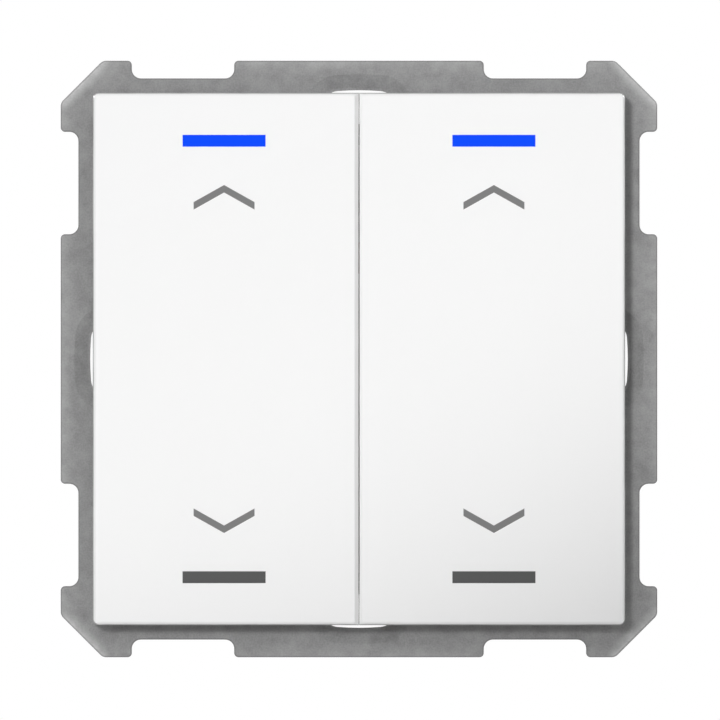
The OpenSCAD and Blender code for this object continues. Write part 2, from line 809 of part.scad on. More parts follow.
// The two pins that the bus terminal plugs onto
module bus_pins() {
    color("silver") for (sx = [-1, 1])
        translate([sx * term_w / 2, -term_drop, pocket_z - pin_out])
            cylinder(r = pin_r, h = pin_out + bus_board_top - pocket_z + 0.8);
}

// One half of the bus terminal: -1 is the left one, seen from the front
module terminal(sx, tone) {
    back = pocket_z - term_gap - term_len;
    lip = 0.4;
    pin_room = 0.4;
    grip_w = 1.8;
    grip_h = 1.4;
    grip_depth = 2;
    color(tone) translate([sx * term_w / 2, -term_drop, back]) difference() {
        union() {
            translate([-term_w / 2 + lip, -term_h / 2, 0]) cube([term_w - 2 * lip, term_h, term_len]);
            translate([-term_w / 2, -term_h / 2 + lip, lip])
                cube([term_w, term_h - 2 * lip, term_len - lip]);
        }
        for (dx = [-1, 1], dy = [-1, 1]) translate([dx * wire_dx / 2, dy * wire_dy / 2, -join])
            cylinder(r = wire_r, h = wire_depth + join);
        translate([0, 0, term_len - pin_out - pin_room])
            cylinder(r = pin_r + fit_gap, h = pin_out + pin_room + join);
        translate([-grip_w / 2, term_h / 2 - grip_h, -join]) cube([grip_w, grip_h + join, grip_depth + join]);
    }
}

stand_up() {
    support_ring();
    insert_housing();
    front_cover();
    housing_screws();
    rocker(-1);  // rocker_left
    rocker(1);  // rocker_right
    lens(-1, 1, "royalblue");  // lens_left_upper
    lens(-1, -1, "dimgray");  // lens_left_lower
    lens(1, 1, "royalblue");  // lens_right_upper
    lens(1, -1, "dimgray");  // lens_right_lower
    plunger(-1, 1);  // plunger_left_upper
    plunger(-1, -1);  // plunger_left_lower
    plunger(1, 1);  // plunger_right_upper
    plunger(1, -1);  // plunger_right_lower
    return_spring(-1, 1);  // spring_left_upper
    return_spring(-1, -1);  // spring_left_lower
    return_spring(1, 1);  // spring_right_upper
    return_spring(1, -1);  // spring_right_lower
    translate([-window_x, plunger_y, 0]) contact_dome();  // dome_left_upper
    translate([-window_x, -plunger_y, 0]) contact_dome();  // dome_left_lower
    translate([window_x, plunger_y, 0]) contact_dome();  // dome_right_upper
    translate([window_x, -plunger_y, 0]) contact_dome();  // dome_right_lower
    light_pipe(-1, 1);  // light_pipe_left_upper
    light_pipe(-1, -1);  // light_pipe_left_lower
    light_pipe(1, 1);  // light_pipe_right_upper
    light_pipe(1, -1);  // light_pipe_right_lower
    diode(-1, 1);  // diode_left_upper
    diode(-1, -1);  // diode_left_lower
    diode(1, 1);  // diode_right_upper
    diode(1, -1);  // diode_right_lower
    programming_button();
    programming_dome();
    programming_diode();
    programming_light_pipe();
    control_board();
    controller_chip();
    board_header();
    board_socket();
    bus_board();
    bus_capacitor();
    bus_coil();
    bus_pins();
    terminal(-1, "firebrick");  // terminal_red
    terminal(1, "black");  // terminal_black
}
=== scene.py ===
import math

import bmesh
import bpy
from bpy.props import FloatProperty, FloatVectorProperty, IntProperty, PointerProperty
from mathutils import Matrix, Vector


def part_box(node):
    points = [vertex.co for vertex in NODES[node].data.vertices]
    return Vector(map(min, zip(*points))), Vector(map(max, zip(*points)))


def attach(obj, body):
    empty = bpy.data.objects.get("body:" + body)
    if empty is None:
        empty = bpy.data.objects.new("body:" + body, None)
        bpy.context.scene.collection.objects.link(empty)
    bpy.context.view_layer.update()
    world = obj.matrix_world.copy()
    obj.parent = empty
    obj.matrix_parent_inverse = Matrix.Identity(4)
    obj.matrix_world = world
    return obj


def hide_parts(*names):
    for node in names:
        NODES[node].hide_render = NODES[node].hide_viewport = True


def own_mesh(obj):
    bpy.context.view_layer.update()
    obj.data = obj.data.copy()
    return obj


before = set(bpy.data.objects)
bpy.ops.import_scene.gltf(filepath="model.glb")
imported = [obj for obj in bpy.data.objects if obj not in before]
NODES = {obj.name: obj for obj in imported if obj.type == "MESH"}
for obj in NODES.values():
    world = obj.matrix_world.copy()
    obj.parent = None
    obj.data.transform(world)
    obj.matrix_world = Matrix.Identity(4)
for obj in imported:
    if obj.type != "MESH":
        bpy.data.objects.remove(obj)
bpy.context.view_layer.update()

SIDES = ("left", "right")
ENDS = ("upper", "lower")
FACE_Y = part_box("rocker_left")[0].y
RING_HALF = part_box("support_ring")[1].x

WELD = 1e-7  # points of a CAD mesh that are closer, in metres, are joined
HAIR = 1e-6  # heights that differ by less, in metres, count as one
FLAT_ANGLE = math.radians(1.0)  # triangles that meet flatter are one face
SHARP_ANGLE = math.radians(40.0)  # edges that are sharper can be broken
CORNER_CUT = 0.005  # what the cut corners take off the sum of both distances
CHOKE_RIM = 0.001  # thickness of the choke core's rims
CHOKE_INSET = 0.0005  # how far the winding's middle lies inside the rims' edge
CHOKE_SIDES = 8  # sides of the winding's wire
WHITE = (1.0, 1.0, 1.0, 1.0)
FLOOR_REACH = 2.0  # half the floor's width
FILM_WIDTH = 36.0  # of the camera, in millimetres
CLIP_START = 0.1
CLIP_BEHIND = 20.0  # how far behind the sensor the camera still sees

bl_info = {
    "name": "Push-button sensor finish",
    "version": (1, 0, 0),
    "blender": (4, 5, 0),
    "location": "View3D > Sidebar > Sensor",
    "description": "Gives the packed push-button sensor its surfaces, arrow marks, springs and stage",
    "category": "Object",
}


def colour(name, description, default):
    """A colour property, in linear light."""
    return FloatVectorProperty(
        name=name, description=description, default=default,
        subtype="COLOR", size=3, min=0.0, max=1.0,
    )


def length(name, description, default):
    """A length property, in metres."""
    return FloatProperty(
        name=name, description=description, default=default,
        min=0.0, unit="LENGTH", subtype="DISTANCE", precision=5,
    )


def angle(name, description, degrees):
    """An angle property, whose default is given in degrees."""
    return FloatProperty(
        name=name, description=description, default=math.radians(degrees),
        subtype="ANGLE", unit="ROTATION",
    )


def factor(name, description, default):
    """A property from 0 to 1."""
    return FloatProperty(
        name=name, description=description, default=default, min=0.0, max=1.0, subtype="FACTOR"
    )


def power(name, description, default):
    """A lamp's power, in watts."""
    return FloatProperty(
        name=name, description=description, default=default, min=0.0, unit="POWER"
    )


def spot_place(name, description, default):
    """A place, in metres."""
    return FloatVectorProperty(
        name=name, description=description, default=default,
        size=3, subtype="TRANSLATION", unit="LENGTH",
    )


class RingLook(bpy.types.PropertyGroup):
    """Finish of the galvanised support ring."""

    zinc: colour("Zinc", "Colour of the sheet's dull zinc", (0.215, 0.215, 0.215))
    # Painted highlight: the light end of the zinc mix, which near the outer edge stands in for light
    # that the rolled edges catch; the random mottle uses it too.
    mottle_and_highlight_zinc: colour(
        "Highlighted zinc", "Colour where the zinc is rubbed bright near the edges", (0.62, 0.62, 0.62)
    )
    # Painted reflection: a darker colour on the stamped edge for the dark that the rolled edge
    # reflects.
    painted_dark_edge: colour("Cut edge", "Colour of the stamped edge", (0.14, 0.14, 0.14))
    edge_break: length("Edge break", "Width of the rollover along the stamped edges", 0.00015)
    # Width of the painted highlight band along the outer edge.
    highlight_band: length("Bright band", "Width of the rubbed band along the outer edge", 0.0022)
    slot_radius: length("Slot radius", "Radius of the circle that the screw slots lie on", 0.03)
    slot_turn: angle("Slot turn", "Half the angle between the ends of a slot's middle line", 4.59)
    rim_apart: length(
        "Rim apart", "Distance from a slot's middle line between its own rim and the seat's", 0.0033
    )
    seat_out: length("Seat rim", "How far pressing draws the rim of a screw seat out", 0.0002)
    seat_in: length("Seat foot", "How far it draws the foot of the seat's wall in", 0.0014)
    seat_reach: length(
        "Seat reach", "How far out the screw seats reach, whose edges stay zinc", 0.0345
    )
    seat_half: length("Seat half", "Half length of a screw seat", 0.0092)
    notch_floor: length(
        "Notch floor", "Distance of the notches' bottoms from the middle, less a little", 0.0333
    )
    cut_line: length(
        "Cut line", "Sum of both distances from the middle at the cut corners, less a little", 0.0655
    )


class RockerLook(bpy.types.PropertyGroup):
    """Finish of the rockers and of their windows."""

    white: colour("White", "Colour of the rockers", (0.90, 0.90, 0.90))
    lit: colour("Lit window", "Colour that a lit window gives off", (0.005, 0.072, 1.0))
    smoked: colour("Dark window", "Colour of an unlit window", (0.086, 0.086, 0.087))
    draft: length("Draft", "How far a rocker's outer skirts lean out at their end", 0.00015)
    seam_fill: length(
        "Seam fill", "How far the side at the seam stands out beyond the plain solid", 0.00006
    )
    seam_draft: length("Seam draft", "The same at the end of the shorter skirt there", 0.000105)
    seam_depth: length("Seam depth", "Depth of that skirt behind the face", 0.0039)
    seam: length(
        "Seam reach", "Distance from the middle that holds the points of the seam's skirt", 0.0002
    )
    seam_slope: FloatProperty(
        name="Seam slope", description="Fall of the left rocker's edge at the seam", default=1.45
    )
    corner: length("Corner", "Depth of the outer corners, whose points follow the draft", 0.0008)
    edge_radius: length("Edge radius", "Radius of the rounded front edges", 0.0004)
    closeness: length(
        "Closeness", "Within this distance of the end of the rounding, a point is its end", 0.00001
    )
    glow: factor("Glow", "Strength of the lit windows", 1.0)


class ArrowLook(bpy.types.PropertyGroup):
    """Sizes and colour of the printed arrow marks."""

    width: length("Width", "Width of an arrow mark", 0.00723)
    stroke: length("Stroke", "Upright thickness of its two strokes", 0.00089)
    tip: length("Tip height", "Distance of its tip from the rocker's middle", 0.02065)
    film: length("Film", "Thickness of the printed film", 0.00002)
    slope: angle("Slope", "Slope of the strokes", 29.3)
    ink: colour("Ink", "Colour of the arrow marks", (0.19, 0.19, 0.19))


class CoilLook(bpy.types.PropertyGroup):
    """Sizes of the wound wires inside."""

    spring_turns: FloatProperty(
        name="Spring turns", description="Turns of a return spring", default=3.0, min=1.0
    )
    spring_wire: length("Spring wire", "Wire diameter of a return spring", 0.00024)
    choke_wire: length("Choke wire", "Wire diameter of the choke's winding", 0.0004)
    wire_sides: IntProperty(
        name="Wire sides", description="Sides of a spring wire's section", default=10, min=4, max=32
    )


class StageLook(bpy.types.PropertyGroup):
    """Camera, lamps and floor."""

    view_width: length("View width", "Width of wall that the picture shows at the ring", 0.08545)
    lens: FloatProperty(
        name="Lens", description="Focal length of the camera, in millimetres", default=1650.0,
        min=1.0, unit="CAMERA",
    )
    right: length("View right", "How far the camera is to the right of the middle", 0.00012)
    up: FloatProperty(
        name="View up", description="How far the camera is above the middle", default=-0.00012,
        unit="LENGTH", subtype="DISTANCE", precision=5,
    )
    floor_drop: length("Floor drop", "Depth of the floor below the middle", 0.1)
    floor: colour("Floor", "Colour of the floor", (0.80, 0.80, 0.80))
    floor_glow: factor("Floor glow", "How far the floor is lifted to the eye", 0.40)
    room_light: factor("Room light", "Strength of the light from all around", 0.375)
    key_power: power("Key power", "Power of the key lamps together", 168.5)
    key_distance: length("Key distance", "Distance of the key lamps", 2.5)
    key_spread: length(
        "Key spread", "Radius of the ring of key lamps, which softens the shadows", 0.055
    )
    key_count: IntProperty(
        name="Key count", description="Lamps in that ring", default=6, min=1, max=12
    )
    key_offset: angle("Key offset", "Sideways and upward turn of the key lamp", 4.4)
    key_cone: angle("Key cone", "Full angle of a key lamp's cone", 9.6)
    key_blend: factor("Key blend", "Softness of the edge of that cone", 0.445)
    key_aim: spot_place("Key aim", "Where the key lamps point", (-0.0598, 0.0, 0.1266))
    back_power: power("Back power", "Power of each lamp behind", 50.0)
    back_place: spot_place(
        "Back place", "Place of the right lamp behind, which the left one mirrors", (0.8, 2.2, 0.4)
    )
    back_size: length("Back size", "Radius of the lamps behind", 0.05)
    back_cone: angle("Back cone", "Full angle of their cones", 4.2)
    back_blend: factor("Back blend", "Softness of the edge of those cones", 0.3)


def placed(name, data):
    """A new object in the scene, with this mesh, lamp or camera."""
    made = bpy.data.objects.new(name, data)
    bpy.context.scene.collection.objects.link(made)
    return made


def coat(mesh, material):
    """Gives a mesh this one material."""
    mesh.materials.clear()
    mesh.materials.append(material)


def add(tree, kind, inputs=None, **settings):
    """Adds a node, sets its properties and then its sockets, by name or by number."""
    made = tree.nodes.new(kind)
    for key, value in settings.items():
        setattr(made, key, value)
    for key, value in (inputs or {}).items():
        if isinstance(value, bpy.types.NodeSocket):
            tree.links.new(value, made.inputs[key])
        else:
            made.inputs[key].default_value = value
    return made


def surface(name):
    """A new material with its output and shader, as (material, tree, shader)."""
    made = bpy.data.materials.new(name)
    made.use_nodes = True
    tree = made.node_tree
    tree.nodes.clear()
    shader = add(tree, "ShaderNodeBsdfPrincipled")
    add(tree, "ShaderNodeOutputMaterial", {"Surface": shader.outputs["BSDF"]})
    return made, tree, shader


def place(tree, scale=(1.0, 1.0, 1.0), turn=(0.0, 0.0, 0.0)):
    """The piece's own coordinates in metres, stretched and turned."""
    own = add(tree, "ShaderNodeTexCoord").outputs["Object"]
    made = add(tree, "ShaderNodeMapping", {"Vector": own, "Scale": scale, "Rotation": turn})
    return made.outputs["Vector"]


def noise(tree, where, scale, detail=3.0, roughness=0.5):
    """Noise whose grains are 1/scale metres across."""
    made = add(tree, "ShaderNodeTexNoise", {
        "Vector": where, "Scale": scale, "Detail": detail, "Roughness": roughness,
    })
    return made.outputs["Fac"]


def between(tree, value, low, high, start, end):
    """Maps a value from low..high to start..end, clamped."""
    made = add(tree, "ShaderNodeMapRange", {
        "Value": value, "From Min": low, "From Max": high, "To Min": start, "To Max": end,
    })
    return made.outputs["Result"]


def tint(tree, share, one, other):
    """Mixes two colours by a share."""
    made = add(tree, "ShaderNodeMix", data_type="RGBA")
    tree.links.new(share, made.inputs["Factor"])
    for socket, value in ((made.inputs[6], one), (made.inputs[7], other)):
        if isinstance(value, bpy.types.NodeSocket):
            tree.links.new(value, socket)
        else:
            socket.default_value = (*value, 1.0)
    return made.outputs[2]


def maths(tree, operation, one, other=0.0):
    """One step of arithmetic on sockets or numbers."""
    return add(tree, "ShaderNodeMath", {0: one, 1: other}, operation=operation).outputs[0]


def scaled(tree, value, by):
    """A value times another."""
    return maths(tree, "MULTIPLY", value, by)


def shade(rgb, by):
    """A colour made lighter or darker by a share."""
    return tuple(min(1.0, c * by) for c in rgb)


def stain(tree, shader, share, one, other):
    """Colours the surface with a mix of two colours."""
    tree.links.new(tint(tree, share, one, other), shader.inputs["Base Color"])


def roughen(tree, shader, grain, low, high):
    """Varies the roughness with noise, most of which lies between 0.3 and 0.7."""
    tree.links.new(between(tree, grain, 0.3, 0.7, low, high), shader.inputs["Roughness"])


def relief(tree, shader, height, depth):
    """Raises the surface by height, 0 to 1, times depth in metres."""
    made = add(tree, "ShaderNodeBump", {"Height": height, "Distance": depth, "Strength": 1.0})
    tree.links.new(made.outputs["Normal"], shader.inputs["Normal"])


def moulded(name, rgb, gloss=0.35, grain=0.00035, depth=0.000004, variation=0.03):
    """Injection-moulded plastic with a spark-eroded or polished grain."""
    made, tree, shader = surface(name)
    where = place(tree)
    drift = noise(tree, where, 60.0, 2.0)
    fine = noise(tree, where, 1.0 / grain, 4.0, 0.6)
    stain(tree, shader, drift, shade(rgb, 1.0 - variation), shade(rgb, 1.0 + variation))
    roughen(tree, shader, fine, gloss - 0.04, gloss + 0.04)
    relief(tree, shader, fine, depth)
    return made


def polished(name, rgb, gloss=0.22, coating=0.25):
    """Polished plastic: a smooth even colour under a faint flow pattern."""
    made, tree, shader = surface(name)
    flow = noise(tree, place(tree, (1.0, 1.0, 0.35)), 90.0, 3.0)
    haze = noise(tree, place(tree), 1400.0, 2.0)
    stain(tree, shader, flow, shade(rgb, 0.992), shade(rgb, 1.008))
    roughen(tree, shader, haze, gloss - 0.03, gloss + 0.03)
    shader.inputs["Coat Weight"].default_value = coating
    shader.inputs["Coat Roughness"].default_value = 0.12
    relief(tree, shader, flow, 0.000012)
    return made


def metal(name, rgb, roughness, brushed=(1.0, 1.0, 1.0)):
    """Plain or drawn metal with fine lines or grain."""
    made, tree, shader = surface(name)
    lines = noise(tree, place(tree, brushed), 2500.0, 4.0, 0.6)
    patches = noise(tree, place(tree), 250.0, 3.0)
    stain(tree, shader, patches, shade(rgb, 0.9), shade(rgb, 1.08))
    roughen(tree, shader, lines, roughness - 0.08, roughness + 0.08)
    shader.inputs["Metallic"].default_value = 1.0
    relief(tree, shader, lines, 0.000003)
    return made


def clear(name, rgb):
    """Clear moulded plastic."""
    made, tree, shader = surface(name)
    swirl = noise(tree, place(tree), 700.0, 3.0)
    stain(tree, shader, swirl, shade(rgb, 0.96), rgb)
    roughen(tree, shader, swirl, 0.08, 0.14)
    shader.inputs["Transmission Weight"].default_value = 0.75
    shader.inputs["IOR"].default_value = 1.585
    return made


def window(name, rgb, glow_rgb=None, glow=0.0, specular=0.35):
    """Translucent window, whose glow is a little cloudy where it is lit."""
    made, tree, shader = surface(name)
    where = place(tree)
    haze = noise(tree, where, 2200.0, 3.0)
    stain(tree, shader, haze, shade(rgb, 0.98), shade(rgb, 1.02))
    roughen(tree, shader, haze, 0.28, 0.31)
    shader.inputs["Specular IOR Level"].default_value = specular
    if glow_rgb:
        cloud = noise(tree, where, 420.0, 2.0)
        light = tint(tree, cloud, shade(glow_rgb, 0.96), glow_rgb)
        tree.links.new(light, shader.inputs["Emission Color"])
        shader.inputs["Emission Strength"].default_value = glow
    return made


def zinc_sheet(look):
    """Hot-dip zinc: soft spangle, a painted highlight towards the outer edge, and a darker stamped
    edge that is a painted reflection.
    """
    side_share, highlight_share, highlight_fall = 0.42, 0.8, 1.6
    cloud_share, spangle_share, speck_share = 0.45, 0.12, 0.46
    made, tree, shader = surface("galvanised_sheet")
    where = place(tree)
    at = add(tree, "ShaderNodeSeparateXYZ", {0: where})
    across = maths(tree, "ABSOLUTE", at.outputs["X"])
    upright = maths(tree, "ABSOLUTE", at.outputs["Z"])

    # Nearness to the outer edge, which counts less at the sides than at the cut corners; it places
    # the painted highlight.
    side = maths(tree, "MAXIMUM", across, upright)
    near_side = between(tree, side, RING_HALF - look.highlight_band, RING_HALF, 0.0, 1.0)
    diagonal = maths(tree, "ADD", across, upright)
    cut = 2 * RING_HALF - CORNER_CUT
    near_cut = between(tree, diagonal, cut - look.highlight_band, cut, 0.0, 1.0)
    near = maths(tree, "MAXIMUM", scaled(tree, near_side, side_share), near_cut)

    # Mottled zinc, and the painted highlight: lighter zinc near the outer edge and the cut corners
    # that stands in for light the rolled edges catch.
    cells = add(
        tree, "ShaderNodeTexVoronoi", {"Vector": where, "Scale": 900.0, "Randomness": 1.0},
        feature="SMOOTH_F1",
    )
    spangle = between(tree, cells.outputs["Distance"], 0.0, 0.9, 0.0, 1.0)
    cloud = noise(tree, where, 420.0, 5.0, 0.62)
    speck = noise(tree, where, 4200.0, 4.0, 0.7)
    mottle = maths(
        tree, "ADD", scaled(tree, cloud, cloud_share), scaled(tree, spangle, spangle_share)
    )
    mottle = maths(tree, "ADD", mottle, scaled(tree, speck, speck_share))
    painted_highlight = scaled(
        tree, maths(tree, "POWER", near, highlight_fall), between(tree, cloud, 0.36, 0.62, 0.6, 1.0)
    )
    level = maths(
        tree, "ADD", between(tree, mottle, 0.35, 0.67, 0.0, 0.38), scaled(tree, painted_highlight, highlight_share)
    )
    # This colour holds the random mottle and the painted highlight.
    zinc = tint(tree, maths(tree, "MINIMUM", level, 1.0), look.zinc, look.mottle_and_highlight_zinc)

    # The stamped edge is what doesn't face front or back, apart from the screw seats. It gets a
    # darker colour, a painted reflection of the dark that the rolled edge reflects.
    normal = add(tree, "ShaderNodeNewGeometry").outputs["True Normal"]
    facing = add(tree, "ShaderNodeSeparateXYZ", {0: normal})
    flat = maths(tree, "ABSOLUTE", facing.outputs["Y"])
    edge = between(tree, flat, 0.86, 0.97, 1.0, 0.0)
    inside = maths(tree, "LESS_THAN", side, look.seat_reach)
    beside = maths(tree, "LESS_THAN", maths(tree, "MINIMUM", across, upright), look.seat_half)
    edge = scaled(tree, edge, maths(tree, "SUBTRACT", 1.0, scaled(tree, inside, beside)))
    stain(tree, shader, edge, zinc, look.painted_dark_edge)
    shader.inputs["Metallic"].default_value = 0.25
    roughen(tree, shader, cloud, 0.42, 0.58)
    relief(tree, shader, maths(tree, "ADD", spangle, speck), 0.000006)
    return made


def board(name, rgb):
    """Circuit board: solder mask over faint copper tracks, with a fine weave."""
    made, tree, shader = surface(name)
    where = place(tree, turn=(math.pi / 2, 0.0, 0.0))
    tracks = add(
        tree, "ShaderNodeTexBrick",
        {"Vector": where, "Scale": 260.0, "Mortar Size": 0.06, "Mortar Smooth": 0.2, "Bias": 0.0},
        offset=0.5, squash=1.6,
    ).outputs["Fac"]
    weave = noise(tree, where, 1800.0, 2.0)
    mask = tint(tree, tracks, rgb, shade(rgb, 1.8))
    stain(tree, shader, between(tree, weave, 0.4, 0.7, 0.0, 0.35), mask, shade(rgb, 0.7))
    roughen(tree, shader, weave, 0.3, 0.42)
    relief(tree, shader, tracks, 0.00002)
    return made


def finish_nodes(names, material):
    """Gives CAD nodes a material, in every slot that they have."""
    for name in names:
        slots = NODES[name].material_slots
        for slot in slots:
            slot.material = material
        if not slots:
            NODES[name].data.materials.append(material)


def named(kind):
    """The names of the four nodes of a kind, such as plunger."""
    return [f"{kind}_{side}_{end}" for side in SIDES for end in ENDS]


def merged_copy(node, name):
    """A new object with a CAD node's mesh, its points joined and its stored normals dropped."""
    mesh = NODES[node].data.copy()
    mesh.name = name
    shape = bmesh.new()
    shape.from_mesh(mesh)
    bmesh.ops.remove_doubles(shape, verts=shape.verts, dist=WELD)
    bmesh.ops.recalc_face_normals(shape, faces=shape.faces)
    shape.to_mesh(mesh)
    shape.free()
    stored = mesh.attributes.get("custom_normal")
    if stored:
        mesh.attributes.remove(stored)
    mesh.shade_flat()
    return placed(name, mesh)


def node_group(name, numbers, counts=()):
    """A Geometry Nodes tree with named inputs, as (tree, group input, group output)."""
    tree = bpy.data.node_groups.new(name, "GeometryNodeTree")
    new_socket = tree.interface.new_socket
    new_socket(name="Geometry", in_out="OUTPUT", socket_type="NodeSocketGeometry")
    for kind, sockets in (("NodeSocketFloat", numbers), ("NodeSocketInt", counts)):
        for socket in sockets:
            new_socket(name=socket, in_out="INPUT", socket_type=kind)
    return tree, add(tree, "NodeGroupInput").outputs, add(tree, "NodeGroupOutput")


def finish_group(tree, geometry, material, end):
    """Ends a tree in real geometry with its material."""
    real = add(tree, "GeometryNodeRealizeInstances", {"Geometry": geometry})
    dressed = add(
        tree, "GeometryNodeSetMaterial", {"Geometry": real.outputs[0], "Material": material}
    )
    tree.links.new(dressed.outputs[0], end.inputs[0])


def grow(name, tree, values, material):
    """Runs a tree on a new object with these values, and keeps the result as a plain mesh."""
    made = placed(name, bpy.data.meshes.new(name))
    modifier = made.modifiers.new("shape", "NODES")
    modifier.node_group = tree
    for item in tree.interface.items_tree:
        if item.in_out == "INPUT":
            modifier[item.identifier] = values[item.name]
    view = bpy.context.evaluated_depsgraph_get()
    mesh = bpy.data.meshes.new_from_object(made.evaluated_get(view))
    made.modifiers.clear()
    made.data = mesh
    coat(mesh, material)
    return made


def joined(tree, given):
    """The place that a tree is given as X, Y and Z."""
    made = add(tree, "ShaderNodeCombineXYZ", {axis: given[axis] for axis in "XYZ"})
    return made.outputs[0]


def wire_along(tree, given, curve, capped):
    """A round wire along a curve."""
    section = add(tree, "GeometryNodeCurvePrimitiveCircle", {
        "Resolution": given["Sides"], "Radius": maths(tree, "DIVIDE", given["Wire"], 2.0),
    })
    made = add(tree, "GeometryNodeCurveToMesh", {
        "Curve": curve.outputs[0], "Profile Curve": section.outputs[0], "Fill Caps": capped,
    })
    return made.outputs[0]


def arrow_tree(ink):
    """Two chevrons, one at each end of a rocker, as thin printed films."""
    tree, given, end = node_group(
        "ArrowMarks", ("Width", "Stroke", "Slope", "Tip", "Middle", "Face", "Film")
    )
    grid = add(tree, "GeometryNodeMeshGrid", {
        "Size X": given["Width"], "Size Y": given["Stroke"], "Vertices X": 3, "Vertices Y": 2,
    })
    at = add(tree, "ShaderNodeSeparateXYZ", {
        0: add(tree, "GeometryNodeInputPosition").outputs[0],
    })
    aside = maths(tree, "ABSOLUTE", at.outputs["X"])
    drop = scaled(tree, aside, maths(tree, "TANGENT", given["Slope"]))
    bent = add(tree, "ShaderNodeCombineXYZ", {
        0: at.outputs["X"], 2: maths(tree, "SUBTRACT", at.outputs["Y"], drop),
    })
    stroke = add(tree, "GeometryNodeSetPosition", {
        "Geometry": grid.outputs[0], "Position": bent.outputs[0],
    })
    raised = add(tree, "GeometryNodeExtrudeMesh", {
        "Mesh": stroke.outputs[0], "Offset Scale": given["Film"], "Individual": False,
    })
    back = add(tree, "GeometryNodeFlipFaces", {"Mesh": stroke.outputs[0]})
    both = add(tree, "GeometryNodeJoinGeometry")
    tree.links.new(raised.outputs[0], both.inputs[0])
    tree.links.new(back.outputs[0], both.inputs[0])
    closed = add(tree, "GeometryNodeMergeByDistance", {
        "Geometry": both.outputs[0], "Distance": HAIR,
    })

    # The second chevron is the first turned half round about the rocker's middle.
    height = maths(tree, "SUBTRACT", given["Tip"], maths(tree, "DIVIDE", given["Stroke"], 2.0))
    first = add(tree, "ShaderNodeCombineXYZ", {0: given["Middle"], 1: given["Face"], 2: height})
    step = add(tree, "ShaderNodeCombineXYZ", {2: scaled(tree, height, -2.0)})
    line = add(tree, "GeometryNodeMeshLine", {
        "Count": 2, "Start Location": first.outputs[0], "Offset": step.outputs[0],
    })
    turn = scaled(tree, add(tree, "GeometryNodeInputIndex").outputs[0], math.pi)
    spin = add(tree, "ShaderNodeCombineXYZ", {1: turn})
    marks = add(tree, "GeometryNodeInstanceOnPoints", {
        "Points": line.outputs[0], "Instance": closed.outputs[0], "Rotation": spin.outputs[0],
    })
    finish_group(tree, marks.outputs[0], ink, end)
    return tree


def spring_tree(wire):
    """A coil spring that stands on its place and rises towards the front."""
    tree, given, end = node_group(
        "ReturnSpring", ("Radius", "Height", "Turns", "Wire", "X", "Y", "Z"), ("Sides",)
    )
    coil = add(tree, "GeometryNodeCurveSpiral", {
        "Resolution": 32, "Rotations": given["Turns"], "Height": given["Height"],
        "Start Radius": given["Radius"], "End Radius": given["Radius"],
    })
    stood = add(tree, "GeometryNodeTransform", {
        "Geometry": wire_along(tree, given, coil, True),
        "Translation": joined(tree, given), "Rotation": (math.pi / 2, 0.0, 0.0),
    })
    finish_group(tree, stood.outputs[0], wire, end)
    return tree


def winding_tree(wire):
    """Turns of wire laid side by side round a drum that points to the front."""
    tree, given, end = node_group(
        "ChokeWinding", ("Radius", "Wire", "X", "Y", "Z"), ("Turns", "Sides")
    )
    loop = add(tree, "GeometryNodeCurvePrimitiveCircle", {
        "Resolution": 40, "Radius": given["Radius"],
    })
    step = add(tree, "ShaderNodeCombineXYZ", {1: scaled(tree, given["Wire"], -1.0)})
    line = add(tree, "GeometryNodeMeshLine", {
        "Count": given["Turns"], "Start Location": joined(tree, given), "Offset": step.outputs[0],
    })
    turns = add(tree, "GeometryNodeInstanceOnPoints", {
        "Points": line.outputs[0], "Instance": wire_along(tree, given, loop, False),
        "Rotation": (math.pi / 2, 0.0, 0.0),
    })
    finish_group(tree, turns.outputs[0], wire, end)
    return tree


def in_seat(point, look):
    """True for a point at one of the four screw seats."""
    near, far = sorted((abs(point.x), abs(point.z)))
    return near < look.seat_half and far < look.seat_reach


class SENSOR_OT_support_ring(bpy.types.Operator):
    """Press the screw seats of the support ring, break its stamped edges and give it its zinc"""

    bl_idname = "sensor.support_ring"
    bl_label = "Support ring"

    def execute(self, context):
        look = context.scene.sensor_ring
        ring = merged_copy("support_ring", "ring_sheet")
        shape = bmesh.new()
        shape.from_mesh(ring.data)
        bmesh.ops.dissolve_limit(
            shape, angle_limit=FLAT_ANGLE, verts=shape.verts, edges=shape.edges
        )
        self.press_seats(shape, look)
        sharp = [edge for edge in shape.edges if self.is_outline(edge, look)]
        bmesh.ops.bevel(
            shape, geom=sharp, offset=look.edge_break, offset_type="OFFSET",
            segments=2, profile=0.5, affect="EDGES",
        )
        shape.to_mesh(ring.data)
        shape.free()
        coat(ring.data, zinc_sheet(look))
        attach(ring, "base")
        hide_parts("support_ring")
        return {"FINISHED"}

    def press_seats(self, shape, look):
        """Turns the upright wall round each screw seat into the soft ramp of a pressed one."""
        front = min(vertex.co.y for vertex in shape.verts)
        back = max(vertex.co.y for vertex in shape.verts)
        for vertex in shape.verts:
            if not in_seat(vertex.co, look) or vertex.co.y > (front + back) / 2:
                continue
            at = Vector((vertex.co.x, vertex.co.z))
            if abs(at.x) > abs(at.y):
                line = Vector((math.copysign(1.0, at.x), 0.0))
            else:
                line = Vector((0.0, math.copysign(1.0, at.y)))
            turn = max(-look.slot_turn, min(look.slot_turn, line.angle_signed(at)))
            line.rotate(Matrix.Rotation(-turn, 2))
            away = at - look.slot_radius * line
            if away.length < look.rim_apart:
                continue
            raised = vertex.co.y < front + look.edge_break
            moved = at + away.normalized() * (look.seat_out if raised else -look.seat_in)
            vertex.co.x, vertex.co.z = moved

    def is_outline(self, edge, look):
        """True for an edge of the front or the back face along the sheet's outline."""
        if not edge.is_manifold or edge.calc_face_angle() < SHARP_ANGLE:
            return False
        one, other = edge.verts[0].co, edge.verts[1].co
        middle = (one + other) / 2
        if abs(one.y - other.y) > look.edge_break or in_seat(middle, look):
            return False
        across, upright = abs(middle.x), abs(middle.z)
        return max(across, upright) > look.notch_floor or across + upright > look.cut_line


